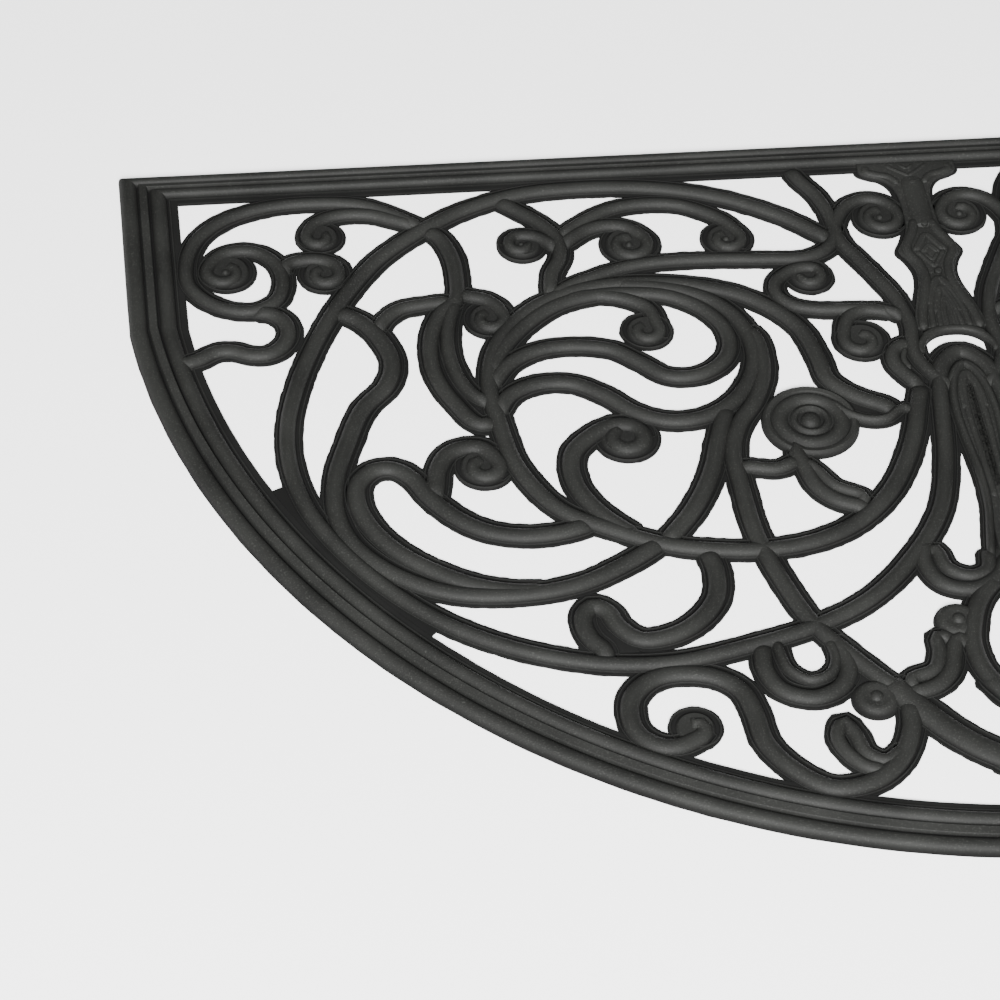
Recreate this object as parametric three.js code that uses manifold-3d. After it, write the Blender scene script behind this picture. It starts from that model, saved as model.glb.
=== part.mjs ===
// Half-round rubber doormat, moulded in one piece: a stepped border with a straight side and an arc,
// and between them an openwork of scrolls, rings and leaves that is the same left and right of a stem.
// Millimetres, +Z up. It lies flat: the underside is at z = 0 and the straight side faces +Y.
import * as THREE from 'three';
import { mergeVertices } from 'three/addons/utils/BufferGeometryUtils.js';
import Module from 'manifold-3d';

const WIDTH = 750;
const DEPTH = 440;
const THICKNESS = 5.5;

// The outline: a straight side along X, two short straight ends, and one arc in front
const ARC_RADIUS = 377.5;
const ARC_CENTRE_Y = ARC_RADIUS - DEPTH;
const ARC_STEPS = 60;

// The border is a flat band, narrower along the straight side
const BORDER = 27;
const STRAIGHT_BORDER = 18.5;

// Each bar is a round ridge with a thin flange, which is wider on the sides that face right and away
const FLANGE = 2.1;
const FLANGE_SHIFT = [0.8, 1.7];

// The rows below were measured along the lower flank of each ridge, this much in front of its middle
const ROW_SHIFT = [0.6, 5.6];
const ROW_STRETCH = 1.0028;

// How far a chord may leave its curve, and the longest step along a bar
const CHORD_ERROR = 0.35;
const LONGEST_STEP = 40;
const FINE_STEPS_PER_MM = 1;

// The smallest opening in square millimetres, the shortest edge, and the cosine of a straight corner
const SMALLEST_OPENING = 12;
const SHORTEST_EDGE = 0.2;
const STRAIGHT_LIMIT = 0.99999;

// A bar is built in runs that turn by less than this, in radians, and a fold is closer than this share
const RUN_TURN = 2.6;
const FOLD_LIMIT = 0.9;

// A curl is a round boss here, with the radius that its spiral has after this share of its turn
const BOSS_SIDES = 18;
const BOSS_AT = 0.25;

// The scrolls of the left half. Knots are plan positions along the ridge, from the middle of the
// straight side. A curl ends the bar: its centre, and the radius where it starts and where it ends.
const BARS = [
  { name: 'ring one', ridge: 9, knots: [[-44, -73], [-66, -54.5], [-92, -39.7], [-120, -31], [-155, -27.6],
    [-188, -30], [-214, -38.5], [-235.5, -51], [-258, -69.5], [-270, -84.5], [-281, -102], [-294, -128],
    [-303.3, -153], [-309.2, -178], [-309.7, -203], [-304, -229], [-291, -255], [-272, -280.5],
    [-250, -301], [-222, -317], [-190, -327], [-158, -329], [-126, -322.5], [-96, -313.5], [-70, -300],
    [-47, -277.5], [-29, -250], [-20.5, -220], [-16, -190], [-13.5, -172], [-9.5, -159.5], [0, -151.5]] },
  { name: 'loop', ridge: 8, knots: [[-235.5, -51], [-248, -41], [-263, -32.5], [-285, -29.5], [-308, -31],
    [-329, -39], [-341.5, -51], [-347, -66], [-346.5, -83], [-335.5, -96.5], [-320, -101.3],
    [-308.5, -95.5], [-304, -83], [-306, -70.5], [-313, -62.5], [-322.5, -60], [-331.5, -62.7],
    [-337, -69.5]], curl: { centre: [-329.7, -74.2], first: 8.8, last: 5.2 } },
  { name: 'curl b', ridge: 8, knots: [[-238, -50], [-248, -44.5], [-258, -40], [-268, -38.5], [-279, -40],
    [-286.5, -44.5]], curl: { centre: [-284.7, -53.7], first: 6.2, last: 4.4 } },
  { name: 'curl c', ridge: 8.2, knots: [[-304.5, -78], [-301, -71], [-293.6, -68.7], [-285.8, -69],
    [-279, -73]], curl: { centre: [-284.8, -79], first: 7.5, last: 4.2 } },
  { name: 'snake', ridge: 9, knots: [[-320, -101], [-311, -103.5], [-305.3, -109.3], [-304, -117.1],
    [-307.3, -124.9], [-314, -130], [-321.8, -130], [-330.7, -126.5], [-338, -127], [-346, -131.5],
    [-357, -135]] },
  { name: 'wave', ridge: 9.8, knots: [[-281, -102.5], [-270, -112.5], [-262, -126.5], [-259, -140],
    [-263, -154], [-275, -168.5], [-284, -190], [-290.5, -210], [-292.3, -230], [-287, -250],
    [-272, -268.5], [-250, -281.5], [-222, -285.5], [-194, -282], [-170, -270.5], [-153.7, -259.7]] },
  { name: 'wave fork', ridge: 8.2, knots: [[-263.5, -121], [-260, -111.5], [-252.5, -105], [-240, -102.5],
    [-226, -101.5]] },
  { name: 'inner', ridge: 10, knots: [[-206, -283.5], [-222, -283], [-237, -278.5], [-252, -270],
    [-266.5, -258], [-277, -243.5], [-282.3, -228], [-281.3, -214.5], [-274, -207], [-265.5, -206.5],
    [-257.5, -213], [-250.5, -226], [-240, -239], [-228, -247.5], [-212, -251.5], [-196, -250.5],
    [-181, -245.5]] },
  { name: 'curl n', ridge: 10, knots: [[-250.5, -228], [-247.5, -218], [-245.5, -208], [-240, -199],
    [-231.5, -195.7], [-224.5, -197]], curl: { centre: [-225.5, -208.7], first: 7.4, last: 5.2 } },
  { name: 'bar seven', ridge: 9, knots: [[-235.5, -51], [-229, -58], [-224.7, -71], [-224, -87],
    [-226, -100.5], [-233.5, -109], [-239, -121], [-241.3, -136], [-240, -151], [-234, -167],
    [-224, -182]] },
  { name: 'bar seven twin', ridge: 8, knots: [[-226, -101], [-230.5, -115], [-232.7, -132], [-231, -148],
    [-225.5, -162], [-218, -171]] },
  { name: 'curl o', ridge: 8.4, knots: [[-225.5, -95], [-219.5, -98.7], [-213, -101], [-208, -105.5]],
    curl: { centre: [-212, -114.5], first: 7.2, last: 5 } },
  { name: 'stalk', ridge: 8.4, knots: [[-200, -33.5], [-190, -42], [-181, -51], [-174, -63], [-174.5, -75],
    [-180, -87], [-183, -103]] },
  { name: 'curl d', ridge: 8, knots: [[-175, -70], [-180, -63.5], [-186.5, -59.5]],
    curl: { centre: [-191.3, -65.5], first: 7, last: 3.6 } },
  { name: 'arch f', ridge: 7.8, knots: [[-174, -63], [-160, -50.8], [-146, -43.5], [-130, -41],
    [-115, -42.7], [-104, -48], [-94, -56]], curl: { centre: [-95, -68.5], first: 7.5, last: 5 } },
  { name: 'curl e', ridge: 8.4, knots: [[-174, -68], [-168, -63], [-160, -57.5], [-150, -55],
    [-140.5, -57]], curl: { centre: [-141, -69], first: 9.2, last: 6.3 } },
  { name: 'top bar', ridge: 7.8, knots: [[-183, -102], [-172.5, -95], [-160, -89.5], [-146, -84.5],
    [-130, -82], [-105, -81.7], [-80, -83.3], [-62, -84], [-51.5, -80.3], [-45, -73], [-42.8, -64.5],
    [-39.5, -56], [-33.5, -48.5], [-26.5, -45.3], [-19, -46.3], [-13.5, -51]],
    curl: { centre: [-19.8, -58.6], first: 9, last: 6 } },
  { name: 'ring two', ridge: 9.5, knots: [[-41, -184], [-53, -177], [-63.5, -166], [-66, -150], [-71, -131],
    [-82.5, -116], [-99, -104.5], [-120, -98], [-145, -95.3], [-168, -98], [-188, -106.5], [-203.5, -120.5],
    [-213, -138], [-217, -158], [-215.3, -182], [-210, -211], [-195, -237], [-175, -250], [-153.7, -260.5],
    [-134, -265.5], [-110, -267.5], [-88, -264.5], [-68, -255.5], [-50, -238.5], [-38, -218.5],
    [-30.5, -200], [-26, -184], [-21, -171]] },
  { name: 'ring inner', ridge: 8.8, knots: [[-215, -152], [-208, -134], [-196, -119.5], [-181, -108],
    [-163, -102.5], [-144, -102], [-127, -105.5], [-113.5, -115], [-105.5, -128], [-105, -141],
    [-111, -151.5], [-123, -158.3], [-136, -157.5], [-147, -148], [-159, -138.5], [-176, -135],
    [-192, -136.5], [-206, -144], [-214, -158]] },
  { name: 'ring middle', ridge: 9.2, knots: [[-152, -97], [-130, -99.5], [-112, -107], [-101, -118.5],
    [-95.5, -132], [-94.5, -147], [-99, -162], [-109, -176], [-124, -185], [-140, -186], [-154, -179.5],
    [-167, -167], [-180, -159], [-196, -158.5], [-209, -165], [-214, -177]] },
  { name: 'curl g', ridge: 8.2, knots: [[-178, -106], [-168, -102.5], [-155.3, -103.3], [-145.5, -107],
    [-138.5, -112.8]], curl: { centre: [-141.6, -127.7], first: 6.8, last: 4.8 } },
  { name: 'curl l', ridge: 10, knots: [[-163, -254], [-178, -240], [-186.3, -222], [-185.5, -204],
    [-176, -193], [-165, -187]], curl: { centre: [-160.3, -195.5], first: 8.6, last: 7 } },
  { name: 'right bar', ridge: 9.8, knots: [[-110, -181], [-119.5, -200], [-126, -220], [-137, -241],
    [-153.7, -259.7]] },
  { name: 'upright', ridge: 9.5, knots: [[-95, -128], [-92.3, -136], [-91.3, -146], [-92.7, -160],
    [-99, -176], [-108.5, -190.5], [-113.8, -206.5], [-113.8, -228], [-112, -258], [-105.3, -287],
    [-96.5, -311.5], [-83, -332], [-67, -351]] },
  { name: 'swag', ridge: 14, knots: [[-72, -345], [-60, -362.5], [-46, -379.5], [-33, -390], [-17, -398],
    [0, -401]] },
  { name: 'leaf a', ridge: 8, knots: [[-112, -215], [-104, -218.5], [-96, -219.5], [-88, -216]] },
  { name: 'leaf b', ridge: 9, knots: [[-86, -208], [-83.5, -221], [-80.5, -232], [-73.5, -240.5],
    [-63, -246]] },
  { name: 'leaf b inner', ridge: 7, knots: [[-82, -212], [-78.5, -223], [-73, -232], [-61, -240]] },
  { name: 'leaf c', ridge: 5.5, knots: [[-66, -179], [-60, -187.5], [-51, -192.5], [-42, -192.5],
    [-34, -186.5]] },
  { name: 'top stalk', ridge: 8.2, knots: [[-57.3, -21], [-53.5, -30], [-47.8, -40.5], [-44, -53],
    [-42.8, -64], [-41.5, -74], [-36, -85], [-29.5, -98.5], [-24, -111], [-20.8, -123], [-19.5, -134],
    [-21, -145], [-20.8, -153], [-16.5, -164], [-10.5, -176]] },
  { name: 'curl j', ridge: 7.6, knots: [[-20, -129], [-29, -122.3], [-45, -120.3], [-60, -119.3],
    [-71, -116], [-77.5, -108.5], [-77, -100], [-71, -93.8], [-64, -90.8]],
    curl: { centre: [-60.8, -96.6], first: 6.7, last: 5 } },
  { name: 'curl k', ridge: 8.2, knots: [[-24, -125.5], [-31, -122.3], [-40, -121.3], [-46.5, -124.8],
    [-50, -131.5]], curl: { centre: [-44, -141.3], first: 8, last: 5.3 } },
  { name: 'base leaf', ridge: 8.5, knots: [[-24, -142], [-30.5, -149], [-31.5, -157.5], [-27, -166.5],
    [-20, -174]] },
  { name: 'curl p', ridge: 10, knots: [[-135.5, -265], [-133, -279], [-135.5, -294], [-145, -306.5],
    [-158, -314], [-171, -315], [-179.5, -306.5], [-182.5, -298.5], [-188.3, -294.5], [-193, -299],
    [-193.8, -306], [-191.5, -314], [-187, -320.5]] },
  { name: 'scroll q', ridge: 10.2, knots: [[-61, -357], [-66, -374], [-75, -391], [-88, -400.5],
    [-104, -402], [-118.5, -391], [-127.5, -376], [-129.5, -360], [-133, -347], [-143, -338.5],
    [-158, -335.5], [-170, -338], [-179.5, -347.5], [-181.2, -360.5], [-178.3, -368.5], [-171, -374.2],
    [-163, -374.8]], curl: { centre: [-155.7, -366], first: 5.5, last: 1.5 } },
  { name: 'scroll r', ridge: 8, knots: [[-78, -397], [-88, -392.5], [-95, -384], [-97.5, -375],
    [-93.5, -367.8], [-89.5, -375.5], [-87, -385], [-79.5, -389.5], [-71.5, -383]] },
  { name: 'curl x', ridge: 9.6, knots: [[-122, -318], [-121, -337], [-116, -348], [-103, -353.3],
    [-91, -348], [-85.8, -338], [-87, -328], [-91, -320.5]] },
  { name: 'curl x inner', ridge: 6, knots: [[-113.5, -318], [-111.5, -337], [-103, -344], [-94.5, -341],
    [-90.5, -333], [-91, -320.5]] },
  { name: 'boss leaf', ridge: 9, knots: [[-37, -326], [-40, -334], [-43, -343], [-51, -351],
    [-64, -354.5]] },
  { name: 'boss leaf inner', ridge: 8, knots: [[-45, -324], [-46, -333], [-50, -342], [-61, -347]] },
  { name: 'low leaf', ridge: 9, knots: [[-40, -268], [-42, -280.5], [-36.5, -293.5], [-24, -297.5],
    [-12, -291], [-6, -278]] },
  { name: 'low leaf inner', ridge: 8, knots: [[-36, -274], [-33, -284.5], [-25, -290], [-16, -287.5],
    [-11, -277]] },
  { name: 'edge bar', ridge: 9.8, knots: [[-12, -290], [-22, -303], [-28, -317], [-30.5, -331],
    [-28, -346], [-18, -361], [0, -371]] },
  { name: 'middle bar', ridge: 5, knots: [[0, -160.5], [-4.5, -165], [-8, -175], [-9.5, -190], [-9, -205],
    [-7, -230], [-7.5, -250], [-10.5, -268], [-16, -281]] },
];

const ROUNDS = [
  { name: 'rosette', at: [-76.2, -190.9], radius: 21.5 },
  { name: 'low boss', at: [-77.3, -355.5], radius: 9.5 },
  { name: 'middle boss', at: [-34.2, -315], radius: 9.5 },
];

// The stem and the leaf under its arch, on the middle line, as half widths down their length
const STEM = [
  { y: -20.5, half: 23.5 }, { y: -27, half: 23 }, { y: -29.8, half: 19.5 }, { y: -32, half: 14 },
  { y: -36, half: 10 }, { y: -42, half: 8 }, { y: -60, half: 7.5 }, { y: -68, half: 8.5 },
  { y: -75, half: 11 }, { y: -83, half: 14.5 }, { y: -89, half: 11.5 }, { y: -97, half: 9 },
  { y: -105, half: 9.5 }, { y: -114, half: 12 }, { y: -125, half: 15 }, { y: -136, half: 17 },
];
const LEAF = [
  { y: -160, half: 0.8 }, { y: -164, half: 4 }, { y: -172, half: 7 }, { y: -185, half: 9 },
  { y: -205, half: 8.5 }, { y: -230, half: 6.5 }, { y: -250, half: 7 }, { y: -268, half: 8 },
  { y: -290, half: 9 },
];
const STEM_MARGIN = 2;
const LEAF_MARGIN = 1.6;

// Webs that close small hollows between bars, and one between the outer ring and the border
const WEBS = [
  { name: 'stem foot', corners: [[-32, -146], [-33, -156], [-27, -168], [-18, -170], [-21, -150],
    [-26, -142]] },
  { name: 'low boss notch', corners: [[-86, -341], [-78, -341], [-77, -347], [-84, -349]] },
  { name: 'leaf c slit', corners: [[-62, -178], [-50, -180], [-38, -186], [-42, -191], [-52, -191],
    [-62, -186]] },
  { name: 'curl p hollow', corners: [[-192, -300], [-184, -297], [-177, -310], [-172, -321], [-198, -321],
    [-197, -308]] },
];

// Angles in degrees from +X, and radii
const RIM_WEB = { from: 204.8, to: 222.6, inner: 340, outer: 352 };

const wasm = await Module();
wasm.setup();

function toSolid(geometry) {
  geometry.deleteAttribute('normal');
  geometry.deleteAttribute('uv');
  const merged = mergeVertices(geometry, 1e-4);
  return new wasm.Manifold(new wasm.Mesh({
    numProp: 3,
    vertProperties: new Float32Array(merged.attributes.position.array),
    triVerts: new Uint32Array(merged.index.array),
  }));
}

function toGeometry(solid) {
  const mesh = solid.getMesh();
  const geometry = new THREE.BufferGeometry();
  geometry.setAttribute('position', new THREE.BufferAttribute(new Float32Array(mesh.vertProperties), 3));
  geometry.setIndex([...mesh.triVerts]);
  return geometry;
}

function slab(points, height = THICKNESS, bottom = 0) {
  const shape = new THREE.Shape(points.map(([x, y]) => new THREE.Vector2(x, y)));
  const geometry = new THREE.ExtrudeGeometry(shape, { depth: height, bevelEnabled: false });
  return toSolid(geometry.translate(0, 0, bottom));
}

// Where a row's plan point lies, with its share of the flange's shift
function placed([x, y], share = 1) {
  return [
    x + ROW_SHIFT[0] + share * FLANGE_SHIFT[0],
    y * ROW_STRETCH + ROW_SHIFT[1] + share * FLANGE_SHIFT[1],
  ];
}

// Stations along a smooth curve through the knots, as far apart as the chord error allows
function stations(knots) {
  const curve = new THREE.CatmullRomCurve3(
    knots.map((knot) => new THREE.Vector3(...placed(knot), 0)),
    false,
    'centripetal',
  );
  const fine = curve.getSpacedPoints(Math.ceil(curve.getLength() * FINE_STEPS_PER_MM));
  const kept = [fine[0]];
  let start = 0;
  for (let end = 2; end < fine.length; end++) {
    const chord = new THREE.Line3(fine[start], fine[end]);
    const nearest = new THREE.Vector3();
    let error = 0;
    for (let i = start + 1; i < end; i++) {
      chord.closestPointToPoint(fine[i], true, nearest);
      error = Math.max(error, nearest.distanceTo(fine[i]));
    }
    if (error > CHORD_ERROR || chord.distance() > LONGEST_STEP) {
      kept.push(fine[end - 1]);
      start = end - 1;
    }
  }
  kept.push(fine.at(-1));
  return kept;
}

// Runs of stations that each turn by less than a limit, so that no run meets itself again
function runs(along) {
  const found = [];
  let run = [along[0], along[1]];
  let turned = 0;
  for (let i = 2; i < along.length; i++) {
    const before = along[i - 1].clone().sub(along[i - 2]);
    const after = along[i].clone().sub(along[i - 1]);
    turned += before.angleTo(after) * Math.sign(before.cross(after).z);
    if (Math.abs(turned) > RUN_TURN) {
      found.push(run);
      run = [along[i - 2], along[i - 1]];
      turned = 0;
    }
    run.push(along[i]);
  }
  return [...found, run];
}

// One side of a band, without the points that a tight bend would fold over
function side(along, offset) {
  const points = along.map((point, i) => {
    const before = along[Math.max(i - 1, 0)];
    const after = along[Math.min(i + 1, along.length - 1)];
    const heading = after.clone().sub(before).normalize();
    return new THREE.Vector3(point.x - heading.y * offset, point.y + heading.x * offset, 0);
  });
  const nearest = new THREE.Vector3();
  const clear = (point) => along.slice(1).every((end, i) => {
    new THREE.Line3(along[i], end).closestPointToPoint(point, true, nearest);
    return nearest.distanceTo(point) > FOLD_LIMIT * Math.abs(offset);
  });
  return points.filter(clear).map(({ x, y }) => [x, y]);
}

function bands(knots, halfWidth) {
  return runs(stations(knots)).map((along) => slab([
    ...side(along, halfWidth),
    ...side(along, -halfWidth).reverse(),
  ]));
}

function round(at, radius, sides = BOSS_SIDES) {
  const geometry = new THREE.CylinderGeometry(radius, radius, THICKNESS, sides);
  geometry.rotateX(Math.PI / 2);
  geometry.translate(...placed(at), THICKNESS / 2);
  return toSolid(geometry);
}

function bar({ ridge, knots, curl }) {
  const half = ridge / 2 + FLANGE;
  if (!curl) {
    return bands(knots, half);
  }
  const radius = THREE.MathUtils.lerp(curl.first, curl.last, BOSS_AT);
  return [...bands(knots, half), round(curl.centre, radius + half)];
}

// The mat's outline, moved in by a margin that is smaller along the straight side
function outline(margin, straightMargin) {
  const radius = ARC_RADIUS - margin;
  const side = WIDTH / 2 - margin;
  const first = Math.acos(side / radius);
  const shape = new THREE.Shape();
  shape.moveTo(side, -straightMargin);
  shape.lineTo(-side, -straightMargin);
  shape.absarc(0, ARC_CENTRE_Y, radius, Math.PI + first, 2 * Math.PI - first, false);
  shape.closePath();
  return shape;
}

function border() {
  const ring = outline(0, 0);
  ring.holes.push(outline(BORDER, STRAIGHT_BORDER));
  return toSolid(new THREE.ExtrudeGeometry(ring,
    { depth: THICKNESS, bevelEnabled: false, curveSegments: ARC_STEPS }));
}

// A shape on the middle line from its half widths, row by row down its length, and a margin
function spindle(rows, margin) {
  const side = rows.map(({ y, half }) => [-half - margin, placed([0, y], 0.5)[1]]);
  return slab([...side, ...side.map(([x, y]) => [-x, y]).reverse()]);
}

// The web between the outer ring and the border, as a band round the arc's centre
function rimWeb() {
  const { from, to, inner, outer } = RIM_WEB;
  const start = THREE.MathUtils.degToRad(from);
  const end = THREE.MathUtils.degToRad(to);
  const shape = new THREE.Shape();
  shape.absarc(0, ARC_CENTRE_Y, outer, start, end, false);
  shape.absarc(0, ARC_CENTRE_Y, inner, end, start, true);
  return toSolid(new THREE.ExtrudeGeometry(shape, { depth: THICKNESS, bevelEnabled: false }));
}

function join(solids) {
  return solids.reduce((all, solid) => all.add(solid));
}

// The closed loops round the upper face of a flat solid, as plan points
function rims(solid) {
  const { vertProperties: positions, triVerts: corners, numTri } = solid.getMesh();
  const edges = new Map();
  for (let t = 0; t < numTri; t++) {
    const face = [...corners.slice(3 * t, 3 * t + 3)];
    if (face.every((corner) => positions[3 * corner + 2] > THICKNESS / 2)) {
      face.forEach((corner, i) => edges.set(`${corner},${face[(i + 1) % 3]}`, [corner, face[(i + 1) % 3]]));
    }
  }
  const rim = [...edges.values()].filter(([from, to]) => !edges.has(`${to},${from}`));
  const next = new Map(rim);
  const loops = [];
  while (next.size > 0) {
    const loop = [];
    let [corner] = next.keys();
    while (next.has(corner)) {
      const following = next.get(corner);
      next.delete(corner);
      loop.push(new THREE.Vector2(positions[3 * corner], positions[3 * corner + 1]));
      corner = following;
    }
    loops.push(loop);
  }
  return loops;
}

// Leaves out points that repeat the one before, and then those on a straight stretch
function cleaned(loop) {
  const apart = loop.filter((point, i) => point.distanceTo(loop.at(i - 1)) > SHORTEST_EDGE);
  return apart.filter((point, i) => {
    const into = point.clone().sub(apart.at(i - 1)).normalize();
    const out = apart[(i + 1) % apart.length].clone().sub(point).normalize();
    return into.dot(out) < STRAIGHT_LIMIT;
  });
}

// One flat plate with the outline of the joined bars, less their openings, pinholes left out
function plate(solid) {
  const loops = rims(solid).map(cleaned).filter((loop) => loop.length > 2);
  const corners = (loop) => loop.map(({ x, y }) => [x, y]);
  const whole = slab(corners(loops.find((loop) => THREE.ShapeUtils.area(loop) > 0)));
  const openings = loops.filter((loop) => THREE.ShapeUtils.area(loop) < -SMALLEST_OPENING)
    .map((loop) => slab(corners(loop.reverse()), 3 * THICKNESS, -THICKNESS));
  return openings.reduce((rest, opening) => rest.subtract(opening), whole);
}

function mirrored(solid) {
  const geometry = toGeometry(solid);
  geometry.scale(-1, 1, 1);
  const index = geometry.index.array;
  for (let i = 0; i < index.length; i += 3) {
    [index[i], index[i + 1]] = [index[i + 1], index[i]];
  }
  return toSolid(geometry);
}

const half = join([
  ...BARS.flatMap(bar),
  ...ROUNDS.map(({ at, radius }) => round(at, radius, 2 * BOSS_SIDES)),
  ...WEBS.map(({ corners }) => slab(corners.map((corner) => placed(corner, 0)))),
  rimWeb(),
]);
const whole = join([border(), half, mirrored(half), spindle(STEM, STEM_MARGIN), spindle(LEAF, LEAF_MARGIN)]);

const mat = new THREE.Mesh(
  toGeometry(plate(whole)),
  new THREE.MeshStandardMaterial({ color: 0x2c2d2b, roughness: 0.62, metalness: 0 }),
);
mat.name = 'mat';
mat.position.y = DEPTH / 2;

const doormat = new THREE.Group();
doormat.add(mat);
export default doormat;
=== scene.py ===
# Half-round rubber doormat: a stepped border round an openwork of scrolls, rings and leaves
import math
from itertools import accumulate, pairwise

import bmesh
import bpy
from mathutils import Matrix, Vector, noise


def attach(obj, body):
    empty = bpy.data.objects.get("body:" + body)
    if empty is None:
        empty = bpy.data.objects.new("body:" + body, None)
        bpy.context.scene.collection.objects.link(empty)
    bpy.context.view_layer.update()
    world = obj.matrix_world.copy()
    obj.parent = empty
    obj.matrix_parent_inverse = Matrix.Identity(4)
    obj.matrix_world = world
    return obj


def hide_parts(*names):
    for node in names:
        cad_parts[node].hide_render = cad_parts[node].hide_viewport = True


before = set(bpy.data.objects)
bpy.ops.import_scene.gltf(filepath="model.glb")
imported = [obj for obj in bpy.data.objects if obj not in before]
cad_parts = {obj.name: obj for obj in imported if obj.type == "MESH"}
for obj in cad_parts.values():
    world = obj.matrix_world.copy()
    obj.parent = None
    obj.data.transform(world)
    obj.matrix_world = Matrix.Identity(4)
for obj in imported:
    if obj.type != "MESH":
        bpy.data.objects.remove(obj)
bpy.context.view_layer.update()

# Lengths are plan millimetres from the middle of the straight side, +Y away, until a piece is finished
MM = 0.001
WIDTH = 750
DEPTH = 440
TO_FRAME = Matrix.Scale(MM, 4) @ Matrix.Translation((0, DEPTH / 2, 0))

# The outline: a straight side, two short ends and one arc in front
ARC_RADIUS = 377.5
ARC_CENTRE = Vector((0, ARC_RADIUS - DEPTH))
ARC_STEPS = 150
BORDER = 27
STRAIGHT_BORDER = 18.5

# Heights of the moulded layers
FLANGE_TOP = 1.2
STEP_TOP = 2.4
GROOVE = 0.5
CREST = 5.2
SHARP_ANGLE = math.radians(38)

# The table's rows were read on the near flank of each ridge: its middle lies this much further away
ROW_SHIFT = Vector((0.6, 5.6))
ROW_STRETCH = 1.0028
# The lower layers lie a little to the right of the ridge and behind it
STEP_SHIFT = Vector((0.5, 1.0))
FLANGE_SHIFT = Vector((0.8, 1.7))
STEP_SPREAD = 0.9
RIDGE_SHARE = 0.87
FLANGE_SPREAD = 2.1
RAGGED = 0.4

# Profile of the border: how far in from the outer edge, and how high, with half-round bands
BANDS = [
    {"name": "outer band", "middle": 4.3, "half": 4.1, "foot": 1.0, "crest": 4.7},
    {"name": "inner band", "middle": 18.1, "half": 3.9, "foot": 0.9, "crest": 5.1},
]
RIB = {"from": 8.9, "to": 13.2, "top": 4.1, "lean": 0.7, "foot": 0.9, "round": 0.5}
BORDER_STEP = {"from": 22.6, "to": 23.7, "top": 2.4}
BORDER_FLANGE_TOP = 1.5

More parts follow.
